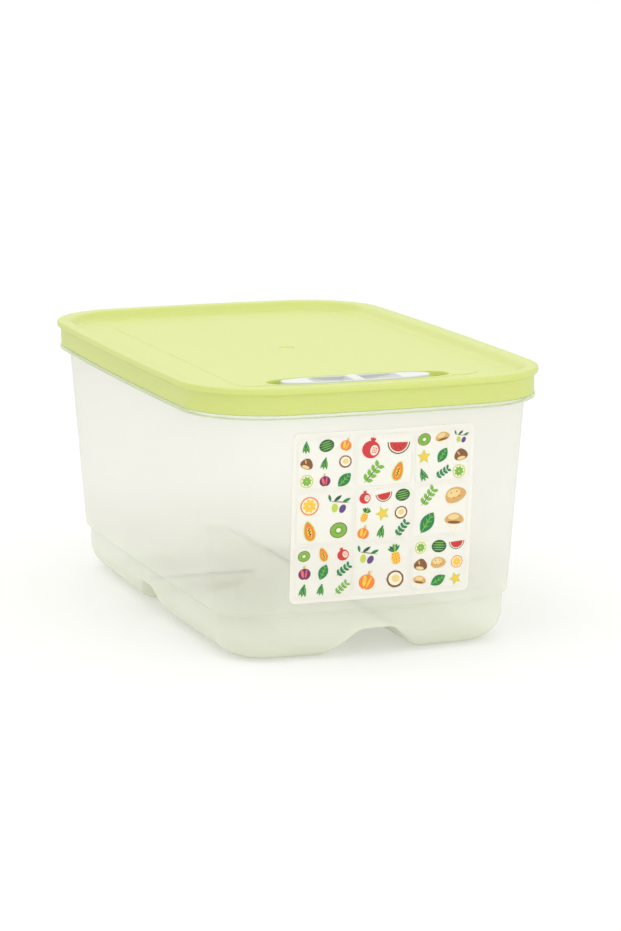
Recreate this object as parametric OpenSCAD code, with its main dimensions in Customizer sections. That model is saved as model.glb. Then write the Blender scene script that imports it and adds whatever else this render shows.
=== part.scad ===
// Produce keeper with a vented lid: a drafted, see-through bin on a four-lobed foot,
// a press-on lid with a sunk top, and a slider that opens and closes the vent in the lid.
// Millimetres. The origin is the middle of the resting plane, +Z is up, and the short wall
// with the picture film faces -Y.

/* [Outline] */
// Width of the lid across its lip
lid_w = 190; // [176:1:210]
// Length of the lid across its lip
lid_l = 299; // [281:1:325]
// Radius of the lid's corners, seen from above
corner_r = 44; // [42:0.5:48]
// Radius of the outward bow of the short ends
end_bow_r = 765; // [600:5:1400]
// Radius of the outward bow of the long sides
side_bow_r = 3500; // [2500:10:6000]

/* [Bin] */
// Height of the bin from the table to the top of its rim
bin_h = 137; // [110:1:170]
// Thickness of the walls
wall_t = 1.8; // [1.4:0.1:2.4]
// Thickness of the floor
floor_t = 1.8; // [1.4:0.1:2.6]
// How far the wall stands inside the lid's lip, just under the rim flange
wall_in = 6.8; // [6.4:0.1:8]
// Slope of the walls, in degrees from upright
wall_draft = 4.4; // [2:0.1:5]

/* [Rim] */
// Height of the rim above its flange
rim_h = 11.6; // [9:0.1:14]
// Thickness of the rim flange
flange_t = 1.8; // [1.2:0.1:2.6]
// How far the flange's edge stands inside the lid's lip
flange_in = 1.5; // [1:0.1:2]
// How far the bead on the rim stands out of the rim wall
bead_out = 0.7; // [0.3:0.1:0.9]
// Height of the bead on the rim
bead_h = 3.2; // [2:0.1:4]

/* [Foot] */
// Height of the foot, up to the step under the walls
foot_h = 23.3; // [21:0.1:30]
// How far the foot stands inside the walls
step_in = 2.5; // [1.5:0.1:3]
// Height of the slanted step between foot and walls
step_h = 2.3; // [1.5:0.1:4]
// Slope of the foot's sides, in degrees from upright
foot_draft = 2; // [0.5:0.1:3]
// Radius round the bottom edge of the foot
foot_r = 15; // [12:0.5:16]
// Height of the two channels that part the foot into lobes
channel_h = 16.3; // [13:0.1:18]
// Width of the channels at half their height
channel_w = 44; // [38:0.5:50]
// Slope of the channel's sides, in degrees from level
channel_slope = 50; // [45:1:58]
// Radius along the top of the channels
channel_top_r = 8; // [6:0.5:9]
// Radius where a channel meets the resting plane
channel_base_r = 7; // [5:0.5:7.5]

/* [Lid] */
// Thickness of the lid
lid_t = 1.8; // [1.4:0.1:2.2]
// Thickness of the lid over the bin's rim
crest_t = 2; // [1.6:0.1:2.6]
// Radius of the rounded lip
lip_r = 1.8; // [1.4:0.1:1.9]
// How far the skirt stands inside the lip
skirt_in = 2; // [1.8:0.1:2.1]
// Thickness of the skirt
skirt_t = 1.6; // [1.2:0.1:1.6]
// Depth of the plug wall that reaches down inside the rim
plug_h = 7.6; // [6:0.1:9]
// Thickness of the plug wall
plug_t = 1.5; // [1.2:0.1:1.8]
// How far the top sinks below the crest
sink = 4.4; // [3:0.1:5]
// Width of the curved slope from the crest down to the sunk top
slope_w = 7.2; // [6:0.1:10]
// How far the raised centre panel stands inside the lip, along the sides
panel_side_in = 31.3; // [29:0.1:37]
// How far the raised panel stands inside the lip at the front
panel_front_in = 38; // [35:0.1:44]
// How far the raised panel stands inside the lip at the back
panel_back_in = 44.5; // [37.5:0.1:52.5]
// Radius of the raised panel's corners
panel_r = 9; // [5:0.5:14]
// Height of the raised panel
panel_t = 0.4; // [0.2:0.1:0.6]
// Diameter of the moulding mark at the middle of the lid
gate_d = 8.6; // [6:0.1:12]
// Depth of the moulding mark
gate_depth = 0.4; // [0.2:0.1:0.6]

/* [Vent] */
// How far the middle of the vent stands inside the lip at the front
vent_in = 44.5; // [40:0.1:52]
// Half the length of the vent pocket, tip to tip
pocket_half_l = 47.5; // [46.5:0.25:52]
// Half the width of the vent pocket
pocket_half_w = 11.2; // [10:0.1:12]
// Bluntness of the pocket's and the slider's ends: 2 is an ellipse
vent_blunt = 2.8; // [2.4:0.1:3.4]
// Width of the flat rim round the vent pocket
vent_rim = 2.6; // [1.5:0.1:4]
// Depth of the vent pocket
pocket_depth = 3.4; // [3:0.1:4]
// Thickness of the pocket's floor and side walls
pocket_t = 1.6; // [1.2:0.1:2]
// Width of one vent slot
slot_w = 2.2; // [1.6:0.1:2.6]
// Length of one vent slot
slot_l = 9; // [6:0.1:10]
// Distance between vent slots
slot_pitch = 4.6; // [4:0.1:5]
// Number of vent slots in each of the two groups
slot_count = 3; // [2:1:3]
// Distance of each group of slots from the middle of the pocket
slot_group_x = 24; // [23:0.5:25]

/* [Slider] */
// Half the length of the slider, tip to tip
slider_half_l = 39; // [37:0.25:39.5]
// Half the width of the slider
slider_half_w = 8.3; // [7:0.1:8.6]
// How far the slider travels between shut and open
travel = 13; // [12:0.5:13.5]
// Where the slider stands at rest, counted from the middle of its travel
rest_shift = -1.5; // [-4:0.5:4]
// How far the slider's top stands above the lid's sunk top
slider_proud = 0.7; // [0.2:0.1:1.2]
// Height of the grip ridge above the slider's top
ridge_h = 1.5; // [0.8:0.1:2]
// Width of the grip ridge
ridge_w = 4.4; // [3:0.1:6]
// Length of each finger hollow
hollow_l = 23.5; // [18:0.5:24]
// Depth of the finger hollows
hollow_depth = 1.5; // [0.8:0.1:1.6]
// Width of the rim left along the finger hollows
hollow_rim = 1.2; // [0.6:0.1:2]
// Height of the air gap under the slider, beside its sealing lands
air_gap = 0.9; // [0.6:0.1:1]
// Length of the stem that guides the slider in the lid
stem_l = 12; // [9:0.5:12]
// Width of the stem
stem_w = 5; // [4:0.1:6]
// How far the barbs on the stem hook under the pocket's floor
barb = 1.1; // [0.8:0.1:1.4]
// Height of the barbs
barb_h = 1.8; // [1.4:0.1:2.4]

/* [Film] */
// Width of the picture film
film_w = 94; // [80:1:100]
// Distance from the step up to the film's lower edge
film_lift = 4.9; // [2:0.1:10]
// Distance from the rim flange down to the film's upper edge
film_drop = 8.1; // [4:0.1:20]
// Thickness of the film
film_t = 0.3; // [0.2:0.05:0.5]
// Radius of the film's corners
film_r = 3; // [1:0.5:6]

/* [Fit] */
// Gap between the rim and the lid's walls on either side of it
lid_gap = 0.4; // [0.3:0.05:0.5]
// Gap between the lid's skirt and the flange
skirt_gap = 0.3; // [0.2:0.05:0.5]
// Gap round the slider's stem and over the pocket's floor
slider_gap = 0.3; // [0.25:0.05:0.35]
// Gap between the wall and the picture film
film_gap = 0.15; // [0.1:0.05:0.3]

/* [Hidden] */
$fn = 96;

// The outline seen from above is four wide bows and four corner arcs that run into them.
// Sections are drawn by their inset from the lip, and reach inwards past the middle.
side_reach = side_bow_r - corner_r;
end_reach = end_bow_r - corner_r;
side_centre = lid_w / 2 - side_bow_r;
end_centre = lid_l / 2 - end_bow_r;
bow_gap = norm([side_centre, end_centre]);
bow_lead = acos((side_reach ^ 2 + bow_gap ^ 2 - end_reach ^ 2) / (2 * side_reach * bow_gap));
side_half_a = atan2(end_centre, -side_centre) + bow_lead;
corner_x = side_centre + side_reach * cos(side_half_a);
corner_y = side_reach * sin(side_half_a);
end_half_a = asin(corner_x / end_reach);
corner_lap = 0.1;
deep = lid_l + 20;
past = 15;

flange_top = bin_h - rim_h;
flange_z = flange_top - flange_t;
wall_z = foot_h + step_h;
wall_slope = tan(wall_draft);
foot_slope = tan(foot_draft);
wall_foot_in = wall_in + (flange_z - wall_z) * wall_slope;
foot_top_in = wall_foot_in + step_in;
foot_bend_in = foot_top_in + (foot_h - foot_r) * foot_slope;
rim_in = skirt_in + skirt_t + lid_gap + bead_out;
rim_ease = 4;
edge_cut = 0.5;

skirt_z = flange_top + skirt_gap;
lid_top = bin_h + crest_t;
sunk_z = lid_top - sink;
plug_in = rim_in + wall_t + lid_gap;
slope_in = plug_in - 1.4;
slope_steps = 8;
arc_steps = 6;
lip_steps = 6;
panel_z = sunk_z + panel_t;
panel_half_w = lid_w / 2 - panel_side_in;
panel_front = lid_l / 2 - panel_front_in;
panel_back = lid_l / 2 - panel_back_in;

vent_at = [0, vent_in - lid_l / 2, 0];
pocket_z = panel_z - pocket_depth;
pocket_under = pocket_z - pocket_t;
guide_l = stem_l + travel + 2 * slider_gap;
guide_w = stem_w + 2 * slider_gap;
slider_z = pocket_z + slider_gap;
slider_top = sunk_z + slider_proud;
land_l = slot_pitch * (slot_count - 1) + slot_w + 2;
hollow_r = (hollow_l ^ 2 / 4 + hollow_depth ^ 2) / (2 * hollow_depth);
hollow_x = ridge_w / 2 + hollow_rim / 2 + hollow_l / 2;
film_z = wall_z + film_lift;
film_h = flange_z - film_drop - film_z;
oval_steps = 60;
big = 400;

// One bowed side or end, as thick as the whole outline is wide, from a section
module bow(half_width, half_span, r) {
    half_a = asin((half_span + past) / (r - deep));
    translate([half_width - r, 0, 0])
        rotate_extrude(angle = 2 * half_a, start = -half_a, $fn = 1440)
            translate([r, 0])
                children();
}

// What a corner takes away where the bows cross, from the same section
module corner_cut()
    translate([corner_x + corner_lap, corner_y + corner_lap, 0])
        difference() {
            translate([0, 0, -1])
                linear_extrude(2 * bin_h)
                    polygon([
                        [0, 0],
                        big * [cos(side_half_a), sin(side_half_a)],
                        big * [1, 1],
                        big * [sin(end_half_a), cos(end_half_a)]
                    ]);
            rotate_extrude(angle = 180, start = -45)
                intersection() {
                    translate([corner_r, 0])
                        children();
                    translate([0, -big])
                        square([corner_r, 2 * big]);
                }
        }

// Solid that fills the outline, with a section that gives its skin at every height
module outline_solid()
    difference() {
        intersection() {
            bow(lid_w / 2, lid_l / 2, side_bow_r)
                children();
            mirror([1, 0, 0])
                bow(lid_w / 2, lid_l / 2, side_bow_r)
                    children();
            rotate([0, 0, 90])
                bow(lid_l / 2, lid_w / 2, end_bow_r)
                    children();
            rotate([0, 0, -90])
                bow(lid_l / 2, lid_w / 2, end_bow_r)
                    children();
        }
        for (x = [0, 1], y = [0, 1])
            mirror([x, 0, 0])
                mirror([0, y, 0])
                    corner_cut()
                        children();
    }

// Points of an arc from one angle to another, both ends included
function arc(centre, r, from, to, steps) =
    [for (k = [0:steps]) let (a = from + (to - from) * k / steps) centre + r * [cos(a), sin(a)]];

function inset(points) = [for (p = points) [-p[0], p[1]]];

// Outline points of the foot, bottom edge first: grow pulls them in for the inside
function foot_points(grow) =
    arc([foot_bend_in + foot_r, foot_r], foot_r - grow, 270, 180, arc_steps);

// Section of everything inside the outer skin, up to the top of the rim
module outer_section()
    polygon(inset(concat([[deep, 0]], foot_points(0), [
        [foot_top_in, foot_h],
        [wall_foot_in, wall_z],
        [wall_in, flange_z - edge_cut],
        [wall_in - edge_cut, flange_z],
        [flange_in + edge_cut, flange_z],
        [flange_in, flange_z + edge_cut],
        [flange_in, flange_top],
        [rim_in, flange_top],
        [rim_in, bin_h - bead_h - bead_out],
        [rim_in - bead_out, bin_h - bead_h],
        [rim_in - bead_out, bin_h - edge_cut],
        [rim_in - bead_out + edge_cut, bin_h],
        [deep, bin_h]
    ])));

// Section of the hollow
module inner_section()
    polygon(inset(concat([[deep, floor_t]], foot_points(floor_t), [
        [foot_top_in + floor_t, foot_h - floor_t * 0.4],
        [wall_foot_in + wall_t, wall_z],
        [wall_in + wall_t, flange_z - rim_ease],
        [rim_in + wall_t, flange_top + edge_cut],
        [rim_in + wall_t, bin_h - edge_cut],
        [rim_in + wall_t - edge_cut, bin_h],
        [rim_in + wall_t - edge_cut, bin_h + 1],
        [deep, bin_h + 1]
    ])));

// Section of the solid foot
module foot_block_section()
    polygon(inset(concat([[deep, 0]], foot_points(0), [[foot_top_in, foot_h], [deep, foot_h]])));

// Half of a channel's cross-section, on +X: a flat top with round shoulders and flared feet
module channel_half(grow) {
    mid = channel_w / 2;
    top_z = channel_h - channel_top_r;
    top_x = mid + (channel_h / 2 - top_z) / tan(channel_slope) - channel_top_r / sin(channel_slope);
    base_x = mid + (channel_h / 2 - channel_base_r) / tan(channel_slope)
        + channel_base_r / sin(channel_slope);
    top_r = channel_top_r + grow;
    base_r = channel_base_r - grow;
    normal = [sin(channel_slope), cos(channel_slope)];
    difference() {
        polygon([
            [-1, -1],
            [base_x, -1],
            [base_x, channel_base_r],
            [base_x, channel_base_r] - base_r * normal,
            [top_x, top_z] + top_r * normal,
            [top_x, channel_h + grow],
            [-1, channel_h + grow]
        ]);
        translate([base_x, channel_base_r])
            circle(base_r);
    }
    translate([top_x, top_z])
        intersection() {
            circle(top_r);
            square(2 * top_r);
        }
}

// Both channels, one along Y and one along X
module channels(grow)
    for (turn = [0, 90], side = [0, 1])
        rotate([90, 0, turn])
            translate([0, 0, -big / 2])
                linear_extrude(big)
                    mirror([side, 0])
                        channel_half(grow);

module bin()
    color([0.93, 0.95, 0.91, 0.6])
        difference() {
            union() {
                difference() {
                    outline_solid()
                        outer_section();
                    outline_solid()
                        inner_section();
                }
                intersection() {
                    outline_solid()
                        foot_block_section();
                    channels(floor_t);
                }
            }
            channels(0);
        }

// Long oval with blunt ends, as the vent pocket and the slider have it
function blunt(v) = sign(v) * abs(v) ^ (2 / vent_blunt);

module long_oval(half_l, half_w)
    polygon([for (k = [0:oval_steps - 1])
        let (a = 360 * (k + 0.5) / oval_steps) [half_l * blunt(cos(a)), half_w * blunt(sin(a))]]);

module rounded_plate(x0, y0, x1, y1, r) {
    translate([x0 + r, y0])
        square([x1 - x0 - 2 * r, y1 - y0]);
    translate([x0, y0 + r])
        square([x1 - x0, y1 - y0 - 2 * r]);
    for (x = [x0 + r, x1 - r], y = [y0 + r, y1 - r])
        translate([x, y])
            circle(r);
}

function slope_z(k) = sunk_z + sink * (1 + cos(180 * k / slope_steps)) / 2;
function slope_d(k) = slope_in + slope_w * k / slope_steps;

function slope_points(drop) = [for (k = [0:slope_steps]) [slope_d(k), slope_z(k) - drop]];

// Section of the lid's outside, up to the crest
module cap_section()
    polygon(inset(concat(
        [[skirt_in, skirt_z]],
        [for (p = arc([lip_r, lid_top - lip_r], lip_r, 270, 90, lip_steps)) if (p[0] < skirt_in) p],
        [[deep, lid_top], [deep, skirt_z]])));

// Section of the space inside the skirt, up to the top of the rim
module rim_space_section()
    polygon(inset([
        [skirt_in + skirt_t, skirt_z - 1],
        [skirt_in + skirt_t, bin_h],
        [deep, bin_h],
        [deep, skirt_z - 1]
    ]));

// Section of the plug wall and all that lies inside it
module plug_section()
    polygon(inset([
        [plug_in, bin_h - plug_h],
        [plug_in, bin_h + crest_t / 4],
        [deep, bin_h + crest_t / 4],
        [deep, bin_h - plug_h]
    ]));

// Section of the space over the sunk top
module over_section()
    polygon(inset(concat([[slope_in, lid_top + 1]], slope_points(0), [[deep, sunk_z],
        [deep, lid_top + 1]])));

// Section of the space under the sunk top, inside the plug wall
module under_section() {
    wall = plug_in + plug_t;
    under = [for (p = slope_points(lid_t)) if (p[0] > wall) p];
    polygon(inset(concat([[wall, bin_h - plug_h - 1], [wall, under[0][1]]], under,
        [[deep, sunk_z - lid_t], [deep, bin_h - plug_h - 1]])));
}

module lid_shell()
    difference() {
        union() {
            difference() {
                outline_solid()
                    cap_section();
                outline_solid()
                    rim_space_section();
            }
            outline_solid()
                plug_section();
        }
        outline_solid()
            over_section();
        outline_solid()
            under_section();
    }

module slots()
    for (side = [-1, 1], k = [0:slot_count - 1])
        translate([side * slot_group_x + (k - (slot_count - 1) / 2) * slot_pitch - slot_w / 2,
            -slot_l / 2, pocket_under - 1])
            cube([slot_w, slot_l, pocket_t + 2]);

module lid()
    color([0.87, 0.92, 0.55])
        difference() {
            union() {
                lid_shell();
                translate([0, 0, sunk_z - lid_t])
                    linear_extrude(lid_t + panel_t)
                        rounded_plate(-panel_half_w, -panel_front, panel_half_w, panel_back, panel_r);
                translate(vent_at + [0, 0, pocket_under])
                    linear_extrude(sunk_z - pocket_under)
                        long_oval(pocket_half_l + pocket_t, pocket_half_w + pocket_t);
                translate(vent_at + [0, 0, sunk_z - lid_t / 2])
                    linear_extrude(lid_t / 2 + panel_t)
                        long_oval(pocket_half_l + vent_rim, pocket_half_w + vent_rim);
            }
            translate(vent_at + [0, 0, pocket_z])
                linear_extrude(pocket_depth + 1)
                    long_oval(pocket_half_l, pocket_half_w);
            translate(vent_at)
                slots();
            translate(vent_at + [-guide_l / 2, -guide_w / 2, pocket_under - 1])
                cube([guide_l, guide_w, pocket_t + 2]);
            translate([0, 0, panel_z - gate_depth])
                cylinder(h = 1, d = gate_d);
        }

// Solid that a finger hollow is scooped with: a drum lying across the slider, inside its rim
module hollow(side)
    intersection() {
        translate([side * hollow_x, 0, slider_top + hollow_r - hollow_depth])
            rotate([90, 0, 0])
                cylinder(h = 3 * slider_half_w, r = hollow_r, center = true, $fn = 180);
        translate([0, 0, slider_z])
            linear_extrude(slider_top - slider_z + 1)
                long_oval(slider_half_l - hollow_rim, slider_half_w - hollow_rim);
    }

// Section of the grip ridge across the slider, with its top edges eased
module ridge_section()
    polygon([
        [-ridge_w / 2, slider_top - 1],
        [ridge_w / 2, slider_top - 1],
        [ridge_w / 2, slider_top + ridge_h * 0.5],
        [ridge_w / 4, slider_top + ridge_h],
        [-ridge_w / 4, slider_top + ridge_h],
        [-ridge_w / 2, slider_top + ridge_h * 0.5]
    ]);

module vent_slider()
    color([0.95, 0.95, 0.95])
        translate(vent_at + [rest_shift, 0, 0]) {
            difference() {
                translate([0, 0, slider_z])
                    linear_extrude(slider_top - slider_z)
                        long_oval(slider_half_l, slider_half_w);
                for (side = [-1, 1])
                    hollow(side);
                difference() {
                    translate([-slider_half_l - 1, -slider_half_w - 1, slider_z - 1])
                        cube([2 * slider_half_l + 2, 2 * slider_half_w + 2, air_gap + 1]);
                    for (side = [-1, 1])
                        translate([side * slot_group_x + travel / 2 - land_l / 2,
                            -slider_half_w - 2, slider_z - 2])
                            cube([land_l, 2 * slider_half_w + 4, air_gap + 3]);
                }
            }
            rotate([90, 0, 0])
                translate([0, 0, -slider_half_w * 0.86])
                    linear_extrude(2 * slider_half_w * 0.86)
                        ridge_section();
            translate([-stem_l / 2, -stem_w / 2, pocket_under - slider_gap - barb_h])
                cube([stem_l, stem_w, slider_z + air_gap + 0.5 - pocket_under + slider_gap + barb_h]);
            rotate([90, 0, 90])
                translate([0, 0, -stem_l / 2])
                    linear_extrude(stem_l)
                        polygon([
                            [-stem_w / 2, pocket_under - slider_gap - barb_h],
                            [stem_w / 2, pocket_under - slider_gap - barb_h],
                            [stem_w / 2 + barb, pocket_under - slider_gap - barb_h * 0.4],
                            [stem_w / 2 + barb, pocket_under - slider_gap],
                            [-stem_w / 2 - barb, pocket_under - slider_gap],
                            [-stem_w / 2 - barb, pocket_under - slider_gap - barb_h * 0.4]
                        ]);
        }

function wall_inset(z) = wall_in + (flange_z - z) * wall_slope;

module picture_film() {
    half_a = asin(film_w / 2 / end_bow_r) + 1;
    color([0.96, 0.96, 0.92])
        intersection() {
            translate([0, -end_centre, 0])
                rotate_extrude(angle = 2 * half_a, start = -90 - half_a, $fn = 1440)
                    translate([end_bow_r, 0])
                        polygon(inset([
                            [wall_inset(film_z) - film_gap, film_z],
                            [wall_inset(film_z + film_h) - film_gap, film_z + film_h],
                            [wall_inset(film_z + film_h) - film_gap - film_t, film_z + film_h],
                            [wall_inset(film_z) - film_gap - film_t, film_z]
                        ]));
            rotate([90, 0, 0])
                linear_extrude(lid_l)
                    rounded_plate(-film_w / 2, film_z, film_w / 2, film_z + film_h, film_r);
        }
}

bin();
lid();
vent_slider();
picture_film();
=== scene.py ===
import math
import random

import bmesh
import bpy
import numpy as np
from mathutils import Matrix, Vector
from mathutils.geometry import delaunay_2d_cdt


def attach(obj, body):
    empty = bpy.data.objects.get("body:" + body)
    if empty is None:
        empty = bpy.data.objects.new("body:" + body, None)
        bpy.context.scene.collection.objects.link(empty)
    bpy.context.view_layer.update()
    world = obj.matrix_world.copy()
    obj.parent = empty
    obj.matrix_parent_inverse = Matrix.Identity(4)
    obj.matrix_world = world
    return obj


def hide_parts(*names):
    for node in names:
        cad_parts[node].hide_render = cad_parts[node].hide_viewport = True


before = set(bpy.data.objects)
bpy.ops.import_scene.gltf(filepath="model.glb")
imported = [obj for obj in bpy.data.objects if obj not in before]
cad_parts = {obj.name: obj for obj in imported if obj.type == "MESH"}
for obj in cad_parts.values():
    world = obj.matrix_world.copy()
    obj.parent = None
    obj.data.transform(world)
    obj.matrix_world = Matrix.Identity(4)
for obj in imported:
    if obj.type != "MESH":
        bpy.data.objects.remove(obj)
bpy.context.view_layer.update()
print("frame loaded")

scene = bpy.context.scene
mm = 0.001


# Millimetres, as in the part's source. Seen from above, four wide bows run into four corner
# arcs. Every offset of the outline keeps their centres, so a section sweeps along the normals.
outlineSizes = {
    "width": 190,
    "length": 299,
    "cornerRadius": 44,
    "endBowRadius": 765,
    "sideBowRadius": 3500,
    "sideSteps": 80,
    "endSteps": 48,
    "cornerSteps": 14,
}


def outlineArcs(o):
    sideReach = o["sideBowRadius"] - o["cornerRadius"]
    endReach = o["endBowRadius"] - o["cornerRadius"]
    sideCentre = o["width"] / 2 - o["sideBowRadius"]
    endCentre = o["length"] / 2 - o["endBowRadius"]
    gap = math.hypot(sideCentre, endCentre)
    lead = math.acos((sideReach**2 + gap**2 - endReach**2) / (2 * sideReach * gap))
    sideHalf = math.atan2(endCentre, -sideCentre) + lead
    cornerX = sideCentre + sideReach * math.cos(sideHalf)
    cornerY = sideReach * math.sin(sideHalf)
    endHalf = math.asin(cornerX / endReach)
    quarter = math.pi / 2
    arcs = []
    for turn in (0, 1):
        s = 1 - 2 * turn
        start = 2 * quarter * turn
        arcs += [
            ((s * sideCentre, 0), o["sideBowRadius"], start - sideHalf, start + sideHalf, "side"),
            ((s * cornerX, s * cornerY), o["cornerRadius"], start + sideHalf,
             start + quarter - endHalf, "corner"),
            ((0, s * endCentre), o["endBowRadius"], start + quarter - endHalf,
             start + quarter + endHalf, "end"),
            ((-s * cornerX, s * cornerY), o["cornerRadius"], start + quarter + endHalf,
             start + 2 * quarter - sideHalf, "corner"),
        ]
    return arcs, endCentre


def outlineRing(o):
    arcs, _ = outlineArcs(o)
    points, normals = [], []
    for centre, radius, first, last, kind in arcs:
        steps = o[kind + "Steps"]
        for k in range(steps):
            a = first + (last - first) * k / steps
            n = (math.cos(a), math.sin(a))
            normals.append(n)
            points.append((centre[0] + radius * n[0], centre[1] + radius * n[1]))
    return np.array(points), np.array(normals)


ringPoints, ringNormals = outlineRing(outlineSizes)
endCentreY = outlineArcs(outlineSizes)[1]


def ring(inset, z):
    flat = ringPoints - inset * ringNormals
    return np.column_stack([flat, np.full(len(flat), float(z))])


# A section is drawn by its corners (inset from the lip, height, radius of the rounding)
def rounded(corners, steps=5):
    out = []
    for k, (d, z, r) in enumerate(corners):
        if r == 0 or k in (0, len(corners) - 1):
            out.append((d, z))
            continue
        p = np.array((d, z), float)
        u = np.array(corners[k - 1][:2]) - p
        v = np.array(corners[k + 1][:2]) - p
        u /= np.linalg.norm(u)
        v /= np.linalg.norm(v)
        half = math.acos(max(-1, min(1, float(u @ v)))) / 2
        centre = p + (u + v) / np.linalg.norm(u + v) * r / math.sin(half)
        a = p + u * r / math.tan(half) - centre
        b = p + v * r / math.tan(half) - centre
        turn = math.atan2(a[0] * b[1] - a[1] * b[0], float(a @ b))
        for i in range(steps + 1):
            t = turn * i / steps
            c, s = math.cos(t), math.sin(t)
            out.append((centre[0] + a[0] * c - a[1] * s, centre[1] + a[0] * s + a[1] * c))
    return out


def arcPoints(centre, r, first, last, steps):
    out = []
    for k in range(steps + 1):
        a = math.radians(first + (last - first) * k / steps)
        out.append((centre[0] + r * math.cos(a), centre[1] + r * math.sin(a)))
    return out


class Build:
    def __init__(self):
        self.points = []
        self.faces = []
        # On the slider, 0 in outer marks the painted shade in its finger hollows
        self.outer = []  # 1 where a face belongs to the outside of a moulded wall

    # Notes the faces added since the last call as outside or inside
    def mark(self, value):
        self.outer += [value] * (len(self.faces) - len(self.outer))

    def add(self, points):
        start = len(self.points)
        self.points += [tuple(p) for p in points]
        return start

    # Rows of equally many points, joined into a band or a closed tube
    def rows(self, rows, closed=True):
        n = len(rows[0])
        starts = [self.add(r) for r in rows]
        last = n if closed else n - 1
        for a, b in zip(starts, starts[1:]):
            for k in range(last):
                j = (k + 1) % n
                self.faces.append((a + k, a + j, b + j, b + k))

    def cap(self, row):
        start = self.add(row)
        middle = self.add([np.mean(np.array(row), axis=0)])
        n = len(row)
        for k in range(n):
            self.faces.append((start + k, start + (k + 1) % n, middle))

    # Flat area at one height: first loop outside, the others are holes
    def flat(self, loops, z, inner=()):
        points, edges, spans = [], [], []
        for loop in loops:
            start = len(points)
            points += [Vector((float(p[0]), float(p[1]))) for p in loop]
            n = len(loop)
            edges += [(start + k, start + (k + 1) % n) for k in range(n)]
            spans.append(np.array([(p[0], p[1]) for p in loop], float))
        points += [Vector(p) for p in inner]
        made, _, faces, _, _, _ = delaunay_2d_cdt(points, edges, [], 0, 1e-5)
        start = self.add([(p[0], p[1], z) for p in made])
        for f in faces:
            c = np.mean([(made[i][0], made[i][1]) for i in f], axis=0)
            if not inside(spans[0], c) or any(inside(h, c) for h in spans[1:]):
                continue
            self.faces.append(tuple(start + i for i in f))

    def box(self, low, high):
        x0, y0, z0 = low
        x1, y1, z1 = high
        self.rows([[(x0, y0, z), (x1, y0, z), (x1, y1, z), (x0, y1, z)] for z in (z0, z1)])
        self.cap([(x0, y0, z0), (x1, y0, z0), (x1, y1, z0), (x0, y1, z0)])
        self.cap([(x0, y0, z1), (x1, y0, z1), (x1, y1, z1), (x0, y1, z1)])


def inside(loop, p):
    x, y = loop[:, 0], loop[:, 1]
    x2, y2 = np.roll(x, -1), np.roll(y, -1)
    crosses = (y > p[1]) != (y2 > p[1])
    with np.errstate(divide="ignore", invalid="ignore"):
        at = x + (p[1] - y) * (x2 - x) / (y2 - y)
    return bool(np.count_nonzero(crosses & (at > p[0])) % 2)


# Normals weighted by area, so that flat areas stay flat beside their eased edges
def cornerNormals(bm, sharp):
    limit = math.cos(math.radians(sharp))
    area = {f: f.calc_area() for f in bm.faces}
    normals = []
    for f in bm.faces:
        for corner in f.loops:
            whole = Vector((0, 0, 0))
            for g in corner.vert.link_faces:
                if g.normal.dot(f.normal) > limit:
                    whole += g.normal * area[g]
            normals.append(tuple(whole.normalized()) if whole.length > 0 else tuple(f.normal))
    return normals


def makePiece(name, build, material, body, node, sharp=38, weld=0.002):
    mesh = bpy.data.meshes.new(name)
    mesh.from_pydata([tuple(c * mm for c in p) for p in build.points], [], build.faces)
    build.mark(1.0)
    mesh.attributes.new("outer", "FLOAT", "FACE").data.foreach_set("value", build.outer)
    bm = bmesh.new()
    bm.from_mesh(mesh)
    bmesh.ops.remove_doubles(bm, verts=bm.verts, dist=weld * mm)
    bmesh.ops.dissolve_degenerate(bm, edges=bm.edges, dist=weld * mm)
    bmesh.ops.recalc_face_normals(bm, faces=bm.faces)
    for e in bm.edges:
        if len(e.link_faces) == 2 and e.calc_face_angle(0) > math.radians(sharp):
            e.smooth = False
    for f in bm.faces:
        f.smooth = True
    openEdges = sum(1 for e in bm.edges if len(e.link_faces) != 2)
    normals = cornerNormals(bm, sharp)
    bm.to_mesh(mesh)
    bm.free()
    mesh.normals_split_custom_set(normals)
    mesh.materials.append(material)
    piece = bpy.data.objects.new(name, mesh)
    scene.collection.objects.link(piece)
    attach(piece, body)
    if node:
        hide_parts(node)
    print(name, len(mesh.polygons), "faces,", openEdges, "open edges")
    return piece


def srgb(r, g, b):
    out = []
    for v in (r, g, b):
        v /= 255
        out.append(v / 12.92 if v <= 0.04045 else ((v + 0.055) / 1.055) ** 2.4)
    return (*out, 1)


class Nodes:
    def __init__(self, name):
        self.material = bpy.data.materials.new(name)
        self.material.use_nodes = True
        self.tree = self.material.node_tree
        self.tree.nodes.clear()

    def add(self, kind, **values):
        node = self.tree.nodes.new(kind)
        for key, value in values.items():
            if hasattr(node, key):
                setattr(node, key, value)
            else:
                self.put(node, key, value)
        return node

    def put(self, node, key, value):
        key = key.replace("_", " ")
        socket = next(s for s in node.inputs if s.name == key)
        if isinstance(value, bpy.types.NodeSocket):
            self.tree.links.new(value, socket)
        else:
            socket.default_value = value

    def link(self, a, b):
        self.tree.links.new(a, b)


rippleDepth = 0.0002


# Fine mottling and a faint ripple, as moulded plastic has
def mouldedSkin(n, v):
    place = n.add("ShaderNodeTexCoord")
    fine = n.add("ShaderNodeTexNoise", Scale=v["mottle"], Detail=3.0, Roughness=0.5)
    n.link(place.outputs["Object"], fine.inputs["Vector"])
    raised = n.add("ShaderNodeBump", Strength=v["ripple"], Distance=rippleDepth)
    n.link(fine.outputs["Fac"], raised.inputs["Height"])
    return place, fine, raised


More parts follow.
